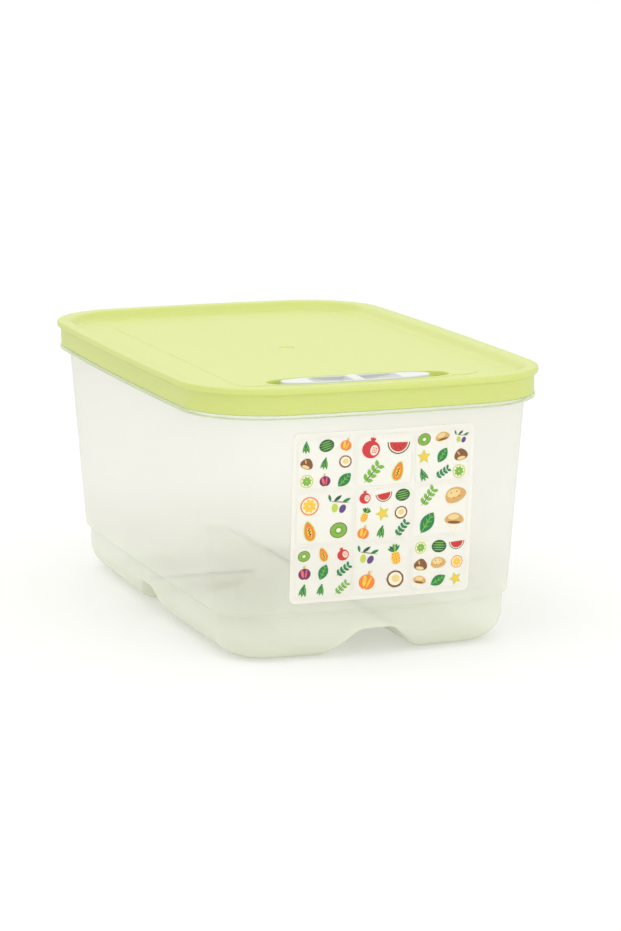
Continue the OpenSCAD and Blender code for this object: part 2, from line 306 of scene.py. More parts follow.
binLook = {
    # clearLow and milkLow tint the bin green towards its bottom: partly the plastic's own tint,
    # partly painted green light from the lid
    "clear": (0.998, 0.998, 0.994, 1),
    "clearLow": (0.993, 0.996, 0.982, 1),
    "milk": srgb(255, 253, 246),
    "milkLow": srgb(250, 253, 240),
    # Painted light: the pale green over the flange and rim stands for green light from the lime lid,
    # not for the plastic's own colour
    "lidLightOnRim": srgb(222, 236, 190),
    "rimFrom": 0.1232,
    "rimTo": 0.1238,
    "milkShare": 0.39,
    "edgeShare": 0.6,
    "lowMilk": 1.45,
    "through": 0.2,
    "gloss": 0.25,
    "mirror": 0.025,
    "mirrorEdge": 0.5,
    "lowZ": 0.012,
    "highZ": 0.045,
    "mottle": 900.0,
    "ripple": 0.06,
}


# See-through plastic with some milk in it. The milk sits on the wall's outer face only, so
# that light crosses it once a wall.
def binMaterial(v):
    n = Nodes("frostedBin")
    place, _, raised = mouldedSkin(n, v)
    apart = n.add("ShaderNodeSeparateXYZ")
    n.link(place.outputs["Object"], apart.inputs[0])
    height = n.add("ShaderNodeMapRange", interpolation_type="SMOOTHSTEP")
    n.link(apart.outputs["Z"], height.inputs["Value"])
    height.inputs["From Min"].default_value = v["lowZ"]
    height.inputs["From Max"].default_value = v["highZ"]

    # Mixes towards the low colours near the bottom: partly the plastic's own tint, partly painted
    # green light from the lid
    def lowHigh(low, high):
        mix = n.add("ShaderNodeMix", data_type="RGBA")
        n.link(height.outputs["Result"], mix.inputs["Factor"])
        mix.inputs[6].default_value = low
        mix.inputs[7].default_value = high
        return mix.outputs[2]

    def mixed(share, first, second):
        mix = n.add("ShaderNodeMixShader")
        if isinstance(share, float):
            mix.inputs[0].default_value = share
        else:
            n.link(share, mix.inputs[0])
        n.link(first.outputs[0], mix.inputs[1])
        n.link(second.outputs[0], mix.inputs[2])
        return mix

    clear = n.add("ShaderNodeBsdfTransparent")
    n.link(lowHigh(v["clearLow"], v["clear"]), clear.inputs["Color"])
    # From the flange upwards the milk is mixed to pale green: painted green light from the lime lid
    # above
    rim = n.add("ShaderNodeMapRange")
    n.link(apart.outputs["Z"], rim.inputs["Value"])
    rim.inputs["From Min"].default_value = v["rimFrom"]
    rim.inputs["From Max"].default_value = v["rimTo"]
    withLidLight = n.add("ShaderNodeMix", data_type="RGBA")
    n.link(rim.outputs["Result"], withLidLight.inputs["Factor"])
    n.link(lowHigh(v["milkLow"], v["milk"]), withLidLight.inputs[6])
    withLidLight.inputs[7].default_value = v["lidLightOnRim"]
    milkColour = withLidLight.outputs[2]
    through = n.add("ShaderNodeBsdfTranslucent")
    n.link(milkColour, through.inputs["Color"])
    back = n.add("ShaderNodeBsdfDiffuse")
    n.link(milkColour, back.inputs["Color"])
    facing = n.add("ShaderNodeLayerWeight", Blend=0.25)
    n.link(raised.outputs[0], facing.inputs["Normal"])
    share = n.add("ShaderNodeMapRange")
    n.link(facing.outputs["Facing"], share.inputs["Value"])
    share.inputs["To Min"].default_value = v["milkShare"]
    share.inputs["To Max"].default_value = v["edgeShare"]
    # The foot is milkier than the walls
    thin = n.add("ShaderNodeMapRange")
    n.link(height.outputs["Result"], thin.inputs["Value"])
    thin.inputs["To Min"].default_value = v["lowMilk"]
    thin.inputs["To Max"].default_value = 1
    milky = n.add("ShaderNodeMath", operation="MULTIPLY")
    n.link(share.outputs["Result"], milky.inputs[0])
    n.link(thin.outputs["Result"], milky.inputs[1])
    body = mixed(milky.outputs[0], clear, mixed(v["through"], back, through))
    shine = n.add("ShaderNodeBsdfGlossy", Roughness=v["gloss"])
    n.link(raised.outputs[0], shine.inputs["Normal"])
    # Schlick's rule, the same from both sides of the face, so that nothing mirrors inside
    grazing = n.add("ShaderNodeLayerWeight", Blend=0.5)
    n.link(raised.outputs[0], grazing.inputs["Normal"])
    steep = n.add("ShaderNodeMath", operation="POWER")
    n.link(grazing.outputs["Facing"], steep.inputs[0])
    steep.inputs[1].default_value = 5
    gloss = n.add("ShaderNodeMapRange")
    n.link(steep.outputs[0], gloss.inputs["Value"])
    gloss.inputs["To Min"].default_value = v["mirror"]
    gloss.inputs["To Max"].default_value = v["mirrorEdge"]
    outside = mixed(gloss.outputs["Result"], body, shine)
    bare = n.add("ShaderNodeBsdfTransparent")
    side = n.add("ShaderNodeAttribute", attribute_name="outer")
    whole = mixed(side.outputs["Fac"], bare, outside)
    out = n.add("ShaderNodeOutputMaterial")
    n.link(whole.outputs[0], out.inputs["Surface"])
    return n.material


limeLook = {
    "low": srgb(219, 228, 126),
    "high": srgb(223, 232, 134),
    "roughness": 0.38,
    "shine": 0.9,
    "through": 0.2,
    "mottle": 700.0,
    "ripple": 0.05,
}

sliderLook = {
    "low": srgb(212, 215, 211),
    "high": srgb(218, 220, 216),
    # Painted shade: a darker grey for the finger hollows
    "hollowShade": srgb(178, 183, 178),
    "roughness": 0.35,
    "shine": 0.5,
    "mottle": 900.0,
    "ripple": 0.04,
}


# Solid plastic, with a share of light through it and a zone of painted shade where its look has them
def plasticMaterial(name, v):
    n = Nodes(name)
    _, fine, raised = mouldedSkin(n, v)
    mix = n.add("ShaderNodeMix", data_type="RGBA")
    n.link(fine.outputs["Fac"], mix.inputs["Factor"])
    mix.inputs[6].default_value = v["low"]
    mix.inputs[7].default_value = v["high"]
    colour = mix.outputs[2]
    # Painted shade: where the slider's outer attribute is 0, the finger hollows take the darker grey
    if "hollowShade" in v:
        side = n.add("ShaderNodeAttribute", attribute_name="outer")
        paintedShade = n.add("ShaderNodeMix", data_type="RGBA")
        n.link(side.outputs["Fac"], paintedShade.inputs["Factor"])
        paintedShade.inputs[6].default_value = v["hollowShade"]
        n.link(colour, paintedShade.inputs[7])
        colour = paintedShade.outputs[2]
    base = n.add("ShaderNodeBsdfPrincipled")
    n.link(colour, base.inputs["Base Color"])
    base.inputs["Roughness"].default_value = v["roughness"]
    base.inputs["Specular IOR Level"].default_value = v["shine"]
    n.link(raised.outputs[0], base.inputs["Normal"])
    whole = base
    if "through" in v:
        glow = n.add("ShaderNodeBsdfTranslucent")
        n.link(mix.outputs[2], glow.inputs["Color"])
        whole = n.add("ShaderNodeMixShader")
        whole.inputs[0].default_value = v["through"]
        n.link(base.outputs[0], whole.inputs[1])
        n.link(glow.outputs[0], whole.inputs[2])
    out = n.add("ShaderNodeOutputMaterial")
    n.link(whole.outputs[0], out.inputs["Surface"])
    return n.material


frosted = binMaterial(binLook)
lime = plasticMaterial("limeLid", limeLook)
white = plasticMaterial("whiteSlider", sliderLook)
print("materials made")


binSizes = {
    "height": 137,
    "wall": 1.8,
    "floor": 1.8,
    "wallInset": 6.8,
    "wallDraft": 4.4,
    "rimHeight": 11.6,
    "flange": 1.8,
    "flangeInset": 1.5,
    "flangeLift": 0.18,
    "rimInset": 4.7,
    "bead": 0.7,
    "beadHeight": 3.2,
    "footHeight": 23.3,
    "stepIn": 2.5,
    "stepHeight": 2.3,
    "footDraft": 2,
    "footRadius": 15,
    "channelHeight": 14.4,
    "channelWidth": 33,
    "channelSlope": 45,
    "channelTopRadius": 9,
    "channelBlend": 4.5,
    "crossBlend": 2.0,
    "liftReach": 8,
    "shoulderAbove": 0.5,
    "shoulderBelow": 4,
    "insideStepDrop": 0.7,
    "floorRows": 44,
    "footSteps": 6,
    "filletSteps": 14,
    "insideFilletSteps": 12,
}

b = binSizes
flangeTop = b["height"] - b["rimHeight"]
flangeLow = flangeTop - b["flange"]
wallLow = b["footHeight"] + b["stepHeight"]
wallSlope = math.tan(math.radians(b["wallDraft"]))
footSlope = math.tan(math.radians(b["footDraft"]))
wallFootInset = b["wallInset"] + (flangeLow - wallLow) * wallSlope
footTopInset = wallFootInset + b["stepIn"]
footBendInset = footTopInset + (b["footHeight"] - b["footRadius"]) * footSlope


def channelRoof(distance, grow):
    slope = math.radians(b["channelSlope"])
    r = b["channelTopRadius"] + grow
    topZ = b["channelHeight"] - b["channelTopRadius"]
    topX = (b["channelWidth"] / 2 + (b["channelHeight"] / 2 - topZ) / math.tan(slope)
            - b["channelTopRadius"] / math.sin(slope))
    u = np.maximum(np.abs(distance) - topX, 0)
    bend = r * math.sin(slope)
    onArc = topZ + np.sqrt(np.maximum(r * r - np.minimum(u, bend) ** 2, 0))
    return onArc - np.maximum(u - bend, 0) * math.tan(slope)


def smoothMax(p, q, blend):
    h = np.maximum(blend - np.abs(p - q), 0) / blend
    return np.maximum(p, q) + h * h * blend / 4


# Lifts what lies under the two crossing channels up to their roof
def lifted(row, grow):
    row = row.copy()
    roof = smoothMax(channelRoof(row[:, 0], grow), channelRoof(row[:, 1], grow),
                     b["crossBlend"])
    low = row[:, 2] < b["channelHeight"] + b["liftReach"]
    row[low, 2] = smoothMax(row[low, 2], roof[low], b["channelBlend"])
    return row


def footRows(section, floorZ, grow):
    rows = [lifted(ring(d, z), grow) for d, z in section]
    edge = ring(section[-1][0], floorZ)
    for k in range(1, b["floorRows"]):
        share = 1 - k / b["floorRows"]
        row = edge.copy()
        row[:, :2] *= share
        rows.append(lifted(row, grow))
    return rows


def between(first, last, steps):
    dx, dy = last[0] - first[0], last[1] - first[1]
    return [(first[0] + dx * k / steps, first[1] + dy * k / steps) for k in range(1, steps)]


def makeBin():
    build = Build()
    rimFace = b["rimInset"] - b["bead"]
    beadLow = b["height"] - b["beadHeight"]
    rimMiddle = b["rimInset"] + b["wall"] / 2
    bendCentre = (footBendInset + b["footRadius"], b["footRadius"])
    outer = rounded([
        (rimMiddle, b["height"], 0),
        (rimFace, b["height"], 0.5),
        (rimFace, beadLow, 0.3),
        (b["rimInset"], beadLow - b["bead"], 0.3),
        (b["rimInset"], flangeTop + b["flangeLift"], 0.3),
        (b["flangeInset"], flangeTop + b["flangeLift"], 0.5),
        (b["flangeInset"], flangeLow, 0.5),
        (b["wallInset"], flangeLow, 1.0),
        (wallFootInset, wallLow, 1.0),
        (footTopInset, b["footHeight"], 1.2),
        (footBendInset, b["footRadius"], 0),
    ])
    outer = outer[:-1] + between(outer[-2], outer[-1], b["footSteps"])
    outer += arcPoints(bendCentre, b["footRadius"], 180, 270, b["filletSteps"])
    inner = rounded([
        (rimMiddle, b["height"], 0),
        (b["rimInset"] + b["wall"], b["height"], 0.5),
        (b["rimInset"] + b["wall"], flangeTop + b["shoulderAbove"], 3),
        (b["wallInset"] + b["wall"], flangeLow - b["shoulderBelow"], 3),
        (wallFootInset + b["wall"], wallLow, 2.0),
        (footTopInset + b["wall"], b["footHeight"] - b["insideStepDrop"], 1.0),
        (footBendInset + b["wall"], b["footRadius"], 0),
    ])
    inner = inner[:-1] + between(inner[-2], inner[-1], b["footSteps"])
    inner += arcPoints(bendCentre, b["footRadius"] - b["floor"], 180, 270, b["insideFilletSteps"])
    outerRows = footRows(outer, 0, 0)
    innerRows = footRows(inner, b["floor"], b["floor"])
    build.rows(outerRows)
    build.cap(outerRows[-1])
    build.mark(1.0)
    build.rows(innerRows)
    build.cap(innerRows[-1])
    build.mark(0.0)
    return makePiece("frostedBin", build, frosted, "bin_body", "bin")


frostedBin = makeBin()


lidSizes = {
    "thick": 1.8,
    "crest": 2,
    "lipRadius": 1.8,
    "skirtInset": 2,
    "skirtThick": 1.6,
    "skirtGap": 0.3,
    "plugDepth": 7.6,
    "plugThick": 1.5,
    "plugInset": 6.9,
    "lipBlendLow": 0.9,
    "lipBlendHigh": 0.7,
    "sink": 4.4,
    "crestOver": 1.4,
    "slopeWidth": 7.2,
    "slopeSteps": 16,
    "underBend": 3.2,
    "underIn": 1.5,
    "underLift": 0.3,
    "panelSideInset": 31.3,
    "panelFrontInset": 38,
    "panelBackInset": 44.5,
    "panelRadius": 9,
    "panelRise": 0.4,
    "panelEdge": ((0.3, 0), (0.1, 0.3), (-0.04, 0.75), (-0.3, 1)),  # outwards, share of the rise
    "edge": 0.3,
    "gate": 8.6,
    "gateDepth": 0.4,
    "gateSteps": 40,
    "ventInset": 44.5,
    "ventRim": 2.6,
    "pocketHalfLength": 47.5,
    "pocketHalfWidth": 11.2,
    "pocketDepth": 3.4,
    "pocketThick": 1.6,
    "pocketEdge": ((0.5, 0), (0.2, 0.1), (0.03, 0.35), (0, 0.7)),  # outwards, depth
    "slotWidth": 2.2,
    "slotLength": 9,
    "slotPitch": 4.6,
    "slotCount": 3,
    "slotGroupX": 24,
    "slotRadius": 0.6,
    "guideLength": 25.6,
    "guideWidth": 5.6,
    "guideRadius": 0.4,
    "holeSteps": 3,
}

c = lidSizes
skirtLow = flangeTop + c["skirtGap"]
lidTop = b["height"] + c["crest"]
sunkTop = lidTop - c["sink"]
panelTop = sunkTop + c["panelRise"]
pocketFloor = panelTop - c["pocketDepth"]
pocketUnder = pocketFloor - c["pocketThick"]
ventY = c["ventInset"] - outlineSizes["length"] / 2


# Long oval with blunt ends, as the vent pocket and the slider have it
ventBlunt = 2.8


def longOval(halfLength, halfWidth, centre=(0, 0), steps=120):
    points = []
    for k in range(steps):
        a = 2 * math.pi * (k + 0.5) / steps
        x, y = (math.copysign(abs(v) ** (2 / ventBlunt), v) for v in (math.cos(a), math.sin(a)))
        points.append((centre[0] + halfLength * x, centre[1] + halfWidth * y))
    return np.array(points)


def roundedRectangle(x0, y0, x1, y1, r, steps=8):
    points = []
    for cx, cy, start in ((x1 - r, y1 - r, 0), (x0 + r, y1 - r, 90), (x0 + r, y0 + r, 180),
                          (x1 - r, y0 + r, 270)):
        points += arcPoints((cx, cy), r, start, start + 90, steps)
    return np.array(points)


# Outline of the raised panel with the vent's oval rim standing out of its front edge
def panelLoop(plate, oval):
    plate = [p for p in plate if not inside(oval, p)]
    front = min(p[1] for p in plate)
    low = [tuple(p) for p in oval if p[1] < front - 0.2]
    low.sort(key=lambda p: p[0])
    left = [tuple(p) for p in plate if p[0] < 0]
    right = [tuple(p) for p in plate if p[0] >= 0]
    whole = [p for p in right if p[1] > 0] + [p for p in left if p[1] > 0]
    whole += [p for p in left if p[1] <= 0] + low + [p for p in right if p[1] <= 0]
    return np.array(whole)


def level(loop, z):
    loop = np.asarray(loop)
    return np.column_stack([loop[:, :2], np.full(len(loop), float(z))])


def grown(loop, by):
    loop = np.asarray(loop, float)
    ahead = np.roll(loop, -1, axis=0) - np.roll(loop, 1, axis=0)
    n = np.column_stack([ahead[:, 1], -ahead[:, 0]])
    n /= np.maximum(np.linalg.norm(n, axis=1), 1e-9)[:, None]
    return loop + by * n


# Loops of holes through the pocket's floor
def ventHoles():
    holes = []
    for side in (-1, 1):
        for k in range(c["slotCount"]):
            x = side * c["slotGroupX"] + (k - (c["slotCount"] - 1) / 2) * c["slotPitch"]
            holes.append(roundedRectangle(x - c["slotWidth"] / 2, ventY - c["slotLength"] / 2,
                                          x + c["slotWidth"] / 2, ventY + c["slotLength"] / 2,
                                          c["slotRadius"], c["holeSteps"]))
    holes.append(roundedRectangle(-c["guideLength"] / 2, ventY - c["guideWidth"] / 2,
                                  c["guideLength"] / 2, ventY + c["guideWidth"] / 2,
                                  c["guideRadius"], c["holeSteps"]))
    return holes


def makeLid():
    build = Build()
    slopeInset = c["plugInset"] - c["crestOver"]
    sunkInset = slopeInset + c["slopeWidth"]
    slope = []
    for k in range(c["slopeSteps"] + 1):
        t = k / c["slopeSteps"]
        slope.append((slopeInset + c["slopeWidth"] * t,
                      sunkTop + c["sink"] * (1 + math.cos(math.pi * t)) / 2))

    lipLow = lidTop - 2 * c["lipRadius"]
    over = rounded([
        (c["skirtInset"] + c["skirtThick"] / 2, skirtLow, 0),
        (c["skirtInset"], skirtLow, 0.35),
        (c["skirtInset"], lipLow - c["lipBlendLow"], 2.4),
        (0, lipLow + c["lipBlendHigh"], 1.3),
        (0, lidTop, 1.2),
        (slopeInset, lidTop, 0),
    ])[:-1] + slope
    build.rows([ring(d, z) for d, z in over])
    skirtInside = c["skirtInset"] + c["skirtThick"]
    plugInside = c["plugInset"] + c["plugThick"]
    plugLow = b["height"] - c["plugDepth"]
    underTop = sunkTop - c["thick"]
    under = rounded([
        (c["skirtInset"] + c["skirtThick"] / 2, skirtLow, 0),
        (skirtInside, skirtLow, 0.35),
        (skirtInside, b["height"], 0.5),
        (c["plugInset"], b["height"], 0.4),
        (c["plugInset"], plugLow, 0.4),
        (plugInside, plugLow, 0.4),
        (plugInside, underTop + c["underBend"], 0.5),
        (sunkInset - c["underIn"], underTop + c["underLift"], 1.5),
        (sunkInset, underTop, 0),
    ])
    build.rows([ring(d, z) for d, z in under])

    # Top: sunk frame, raised panel with eased edge, gate mark, vent pocket
    halfWidth, halfLength = outlineSizes["width"] / 2, outlineSizes["length"] / 2
    panel = panelLoop(
        roundedRectangle(c["panelSideInset"] - halfWidth, c["panelFrontInset"] - halfLength,
                         halfWidth - c["panelSideInset"], halfLength - c["panelBackInset"],
                         c["panelRadius"]),
        longOval(c["pocketHalfLength"] + c["ventRim"], c["pocketHalfWidth"] + c["ventRim"],
                 (0, ventY)))
    rim = ring(sunkInset, sunkTop)[:, :2]
    panelRows = [level(grown(panel, out), sunkTop + c["panelRise"] * share)
                 for out, share in c["panelEdge"]]
    build.flat([rim, panelRows[0][:, :2]], sunkTop)
    build.rows(panelRows)
    gate = np.array(arcPoints((0, 0), c["gate"] / 2, 0, 360, c["gateSteps"])[:-1])
    gateFloor = level(grown(gate, -c["edge"]), panelTop - c["gateDepth"])
    pocket = longOval(c["pocketHalfLength"], c["pocketHalfWidth"], (0, ventY))
    pocketRows = [level(grown(pocket, out), panelTop - depth) for out, depth in c["pocketEdge"]]
    pocketInside = grown(pocket, -c["edge"])
    build.flat([panelRows[-1][:, :2], gate, pocketRows[0][:, :2]], panelTop)
    build.rows([level(gate, panelTop), gateFloor])
    build.cap(gateFloor)
    build.rows(pocketRows + [level(pocket, pocketFloor + c["edge"]),
                             level(pocketInside, pocketFloor)])
    holes = ventHoles()
    build.flat([pocketInside] + holes, pocketFloor)
    for hole in holes:
        build.rows([level(hole, pocketFloor), level(hole, pocketUnder)])

    # Underside, with the pocket standing out of it
    bulge = longOval(c["pocketHalfLength"] + c["pocketThick"],
                     c["pocketHalfWidth"] + c["pocketThick"], (0, ventY))
    bulgeInside = grown(bulge, -c["edge"])
    build.flat([ring(sunkInset, underTop)[:, :2], bulge], underTop)
    build.rows([level(bulge, underTop), level(bulge, pocketUnder + c["edge"]),
                level(bulgeInside, pocketUnder)])
    build.flat([bulgeInside] + holes, pocketUnder)
    return makePiece("limeLid", build, lime, "lid_body", "lid")


limeLid = makeLid()


sliderSizes = {
    "halfLength": 39,
    "halfWidth": 8.3,
    "restX": -1.5,
    "low": 131.9,
    "top": 135.3,
    "edge": 0.7,
    "edgeShare": 0.6,
    "lowEase": 0.3,
    "sideBand": 0.8,
    "tip": 0.02,
    "ridgeHeight": 0.5,
    "ridgeWidth": 4.4,
    "ridgeFoot": 1.25,
    "ridgeEase": 0.5,
    "ridgeEnd": 1.1,
    "ridgeEndEase": 1.0,
    "hollowLength": 23.5,
    "hollowDepth": 1.7,
    "hollowRim": 1.2,
    "hollowRimShare": 0.6,
    "hollowEntry": 3,
    "hollowEase": 0.9,
    "shadeAlong": (0.03, 0.9),
    "shadeDepth": (0.3, 2),
    "stemLength": 12,
    "stemWidth": 5,
    "stemOverlap": 1,
    "barb": 1.1,
    "barbLow": 127.9,
    "barbHigh": 129.7,
    "lengthSteps": 171,
    "acrossSteps": 40,
    "crowding": 1.7,
}


def eased(t):
    t = min(max(t, 0), 1)
    return t * t * (3 - 2 * t)


# Height of the slider's top, with its round edge, the finger hollows and the grip ridge
def sliderHeight(s, x, fromEdge, edge):
    z = s["top"]
    if fromEdge < edge:
        z -= edge - math.sqrt(max(edge**2 - (edge - fromEdge) ** 2, 0))
    u = (abs(x) - s["ridgeWidth"] / 2) / s["hollowLength"]
    if 0 < u < 1:  # a hollow is deep beside the ridge and runs out towards the tip
        dip = s["hollowDepth"] * eased(u * s["hollowLength"] / s["hollowEntry"]) * (1 - u * u)
        keep = eased((fromEdge - s["hollowRim"] * s["hollowRimShare"]) / s["hollowEase"])
        z = min(z, s["top"] - dip * keep)
    a = abs(x) / (s["ridgeWidth"] / 2)
    if a < s["ridgeFoot"]:
        along = eased((fromEdge - s["ridgeEnd"]) / s["ridgeEndEase"])
        z += s["ridgeHeight"] * eased((s["ridgeFoot"] - a) / s["ridgeEase"]) * along
    return z


def makeSlider():
    s = sliderSizes
    build = Build()
    rows = []
    for t in np.linspace(-1, 1, s["lengthSteps"]):
        x = s["halfLength"] * math.sin(t * math.pi / 2)
        along = min(abs(x) / s["halfLength"], 1)
        half = max(s["halfWidth"] * (1 - along**ventBlunt) ** (1 / ventBlunt), s["tip"])
        edge = min(s["edge"], half * s["edgeShare"])
        lowSide, highSide = s["low"] + s["lowEase"], s["top"] - edge - s["sideBand"]
        loop = [(x, -half + edge, s["low"]), (x, -half, lowSide), (x, -half, highSide)]
        for k in range(s["acrossSteps"] + 1):
            v = -1 + 2 * k / s["acrossSteps"]
            y = half * math.copysign(1 - (1 - abs(v)) ** s["crowding"], v) if v else 0.0
            loop.append((x, y, sliderHeight(s, x, half - abs(y), edge)))
        loop += [(x, half, highSide), (x, half, lowSide), (x, half - edge, s["low"])]
        rows.append([(p[0] + s["restX"], p[1] + ventY, p[2]) for p in loop])
    build.rows(rows)
    # The finger hollows get painted shade: a darker grey where they dip below the top
    for face in build.faces:
        x, y, z = np.mean([build.points[i] for i in face], axis=0)
        u = (abs(x - s["restX"]) - s["ridgeWidth"] / 2) / s["hollowLength"]
        shaded = (s["shadeAlong"][0] < u < s["shadeAlong"][1]
                   and s["shadeDepth"][0] < s["top"] - z < s["shadeDepth"][1]
                   and abs(y - ventY) < s["halfWidth"] - s["hollowRim"])
        build.outer.append(0.0 if shaded else 1.0)
    build.cap(rows[0])
    build.cap(rows[-1])
    stem = s["stemLength"] / 2
    half = s["stemWidth"] / 2
    build.box((s["restX"] - stem, ventY - half, s["barbLow"]),
              (s["restX"] + stem, ventY + half, s["low"] + s["stemOverlap"]))
    reach, bend = half + s["barb"], s["barbLow"] + s["barb"]
    barb = [(-half, s["barbLow"]), (half, s["barbLow"]), (reach, bend), (reach, s["barbHigh"]),
            (-reach, s["barbHigh"]), (-reach, bend)]
    ends = [[(s["restX"] + x, ventY + y, z) for y, z in barb] for x in (-stem, stem)]
    build.rows(ends)
    build.cap(ends[0])
    build.cap(ends[1])
    return makePiece("ventSlider", build, white, "slider_body", "vent_slider")


ventSlider = makeSlider()
print("rigid pieces made")


# A generic sheet of garden produce: nine equal panels, in turn with nine or four motifs
filmSizes = {
    "halfWidth": 47,
    "low": 30.5,
    "high": 115.5,
    "cornerRadius": 3,
    "gap": 0.15,
    "thick": 0.3,
    "meshStep": 4,
    "panelRows": 3,
    "panelColumns": 3,
    "border": 2.2,
    "panelGap": 1.3,
    "panelCorner": 2,
    "line": 0.22,
    "motifsAcross": (3, 2),
    "motifSizes": (4.5, 6.3),
    "smallest": 0.84,
    "tilt": 22,
    "stirAcross": 0.04,
    "stirUp": 0.03,
    "seed": 11,
}

inkColours = {
    "ground": (254, 252, 243, 0.6),
    "line": (205, 205, 192, 1),
    "leaf": (22, 128, 62, 1),
    "leafPale": (120, 178, 60, 1),
    "leafDark": (24, 84, 50, 1),
    "straw": (232, 205, 138, 1),
    "tan": (214, 166, 96, 1),
    "brown": (128, 82, 46, 1),
    "cream": (243, 232, 205, 1),
    "orange": (236, 128, 42, 1),
    "yellow": (240, 196, 62, 1),
    "red": (206, 44, 46, 1),
    "pink": (226, 96, 104, 1),
    "purple": (112, 40, 88, 1),
    "violet": (92, 66, 124, 1),
    "black": (44, 40, 40, 1),
    "lime": (186, 206, 74, 1),
}

filmLook = {
    "roughness": 0.36,
    "mottle": 1200.0,
    "ripple": 0.03,
}


def turned(x, y, degrees):
    a = math.radians(degrees)
    return x * math.cos(a) - y * math.sin(a), x * math.sin(a) + y * math.cos(a)


def oval(cx, cy, rx, ry, turn=0, steps=22, pinch=0.0, wave=0.0, waves=5):
    points = []
    for k in range(steps):
        t = 2 * math.pi * k / steps
        r = 1 + wave * math.cos(waves * t)
        x, y = turned(rx * r * math.cos(t) * (1 - pinch * math.sin(t)), ry * r * math.sin(t), turn)
        points.append((cx + x, cy + y))
    return points


def leafShape(x, y, length, width, turn, steps=7):
    points = []
    for side in (1, -1):
        for k in range(steps):
            t = k / steps if side == 1 else 1 - k / steps
            u, v = turned(length * t, side * width * math.sin(math.pi * t) ** 0.8, turn)
            points.append((x + u, y + v))
    return points


def potato():
    eyes = [(oval(x, y, 0.07, 0.05, 20, 8), "brown")
            for x, y in ((-0.4, 0.15), (0.1, 0.3), (0.35, -0.1), (-0.1, -0.25))]
    return [(oval(0, 0, 0.95, 0.66, 18, 26, 0.1, 0.04, 3), "tan"),
            (oval(-0.15, 0.12, 0.6, 0.36, 18), "straw")] + eyes


def onion(skin="orange", shine="yellow"):
    return [(leafShape(0, 0.4, 0.62, 0.1, 80), "straw"),
            (leafShape(0, 0.4, 0.55, 0.1, 104), "tan"),
            (oval(0, -0.12, 0.74, 0.68, 0, 26), skin),
            (oval(-0.24, -0.06, 0.18, 0.5, 12), shine),
            (oval(0.2, -0.08, 0.1, 0.54, -8), shine),
            (oval(0, -0.82, 0.14, 0.1, 0, 10), "cream")]


def mushroom():
    return [(oval(0, -0.35, 0.27, 0.56, 0, 20, -0.25), "cream"),
            (oval(0, 0.2, 0.86, 0.5, 0, 26, 0.25), "tan"),
            (oval(-0.1, 0.34, 0.5, 0.24, 6), "straw"), (oval(0, -0.12, 0.6, 0.12), "brown")]


def pineapple():
    crown = ((90, "leaf"), (62, "leafDark"), (118, "leafDark"), (40, "leaf"), (140, "leaf"),
             (76, "leafPale"))
    parts = [(leafShape(0, 0.25, 0.8, 0.13, turn), ink) for turn, ink in crown]
    parts.append((oval(0, -0.34, 0.46, 0.64, 0, 26), "yellow"))
    for row in range(4):
        for k in range(3):
            x = -0.26 + 0.26 * k + 0.06 * (row % 2)
            parts.append((oval(x, -0.74 + 0.26 * row, 0.08, 0.09, 45, 8), "orange"))
    return parts


def melonWedge():
    def half(r):
        return arcPoints((0, 0.35), r, 180, 360, 16)

    seeds = [(oval(x, y, 0.045, 0.08, 0, 8), "black") for x, y in
             ((-0.36, 0.1), (0, 0.05), (0.36, 0.1), (-0.18, -0.16), (0.18, -0.16))]
    return [(half(1.0), "leafDark"), (half(0.9), "cream"), (half(0.8), "red")] + seeds


def citrusSlice(rind="orange", flesh="yellow"):
    parts = [(oval(0, 0, 0.8, 0.8, 0, 28), rind), (oval(0, 0, 0.68, 0.68, 0, 26), "cream")]
    for k in range(8):
        parts.append((leafShape(*turned(0.05, 0, 45 * k), 0.58, 0.17, 45 * k), flesh))
    return parts


def kiwiSlice():
    seeds = []
    for k in range(12):
        x, y = turned(1, 0, 30 * k)
        seeds.append((oval(0.34 * x, 0.3 * y, 0.05, 0.035, 30 * k, 7), "black"))
    return [(oval(0, 0, 0.82, 0.72, 0, 28), "brown"), (oval(0, 0, 0.74, 0.64, 0, 26), "leafPale"),
            (oval(0, 0, 0.22, 0.18), "cream")] + seeds


def sprig(colour="leaf"):
    parts = [(leafShape(-0.75, -0.75, 2.0, 0.05, 45), "leafDark")]
    for k in range(4):
        x = -0.5 + 0.34 * k
        parts.append((leafShape(x, x, 0.62, 0.17, 95), colour))
        parts.append((leafShape(x, x, 0.62, 0.17, -5), colour))
    return parts


def pomegranate():
    crown = [(leafShape(0, 0.5, 0.42, 0.1, t), "red") for t in (60, 90, 120)]
    seeds = [(oval(0.16 + 0.14 * (k % 3), -0.3 + 0.17 * (k // 3), 0.06, 0.07, 0, 8), "pink")
             for k in range(9)]
    return crown + [(oval(0, -0.12, 0.76, 0.72, 0, 26), "red"),
                    (oval(0.28, -0.14, 0.34, 0.42), "cream")] + seeds


def olives():
    return [(leafShape(-0.9, 0.1, 1.8, 0.04, 6), "brown"),
            (leafShape(-0.5, 0.14, 0.8, 0.14, 50), "leafDark"),
            (leafShape(0.2, 0.2, 0.75, 0.13, 36), "leaf"),
            (leafShape(-0.75, 0.1, 0.6, 0.12, 120), "leaf"),
            (oval(-0.3, -0.35, 0.26, 0.36, 12), "lime"),
            (oval(0.35, -0.3, 0.26, 0.36, -14), "violet")]


def coconut():
    return [(oval(0, 0, 0.82, 0.78, 0, 28, 0, 0.02, 9), "brown"),
            (oval(0, 0.02, 0.64, 0.6), "cream"), (oval(0.04, 0.06, 0.4, 0.34), "straw")]


def starSlice():
    points = [turned(0.92 if k % 2 == 0 else 0.42, 0, 90 + 36 * k) for k in range(10)]
    inner = [(0.74 * x, 0.74 * y) for x, y in points]
    return [(points, "lime"), (inner, "yellow")]


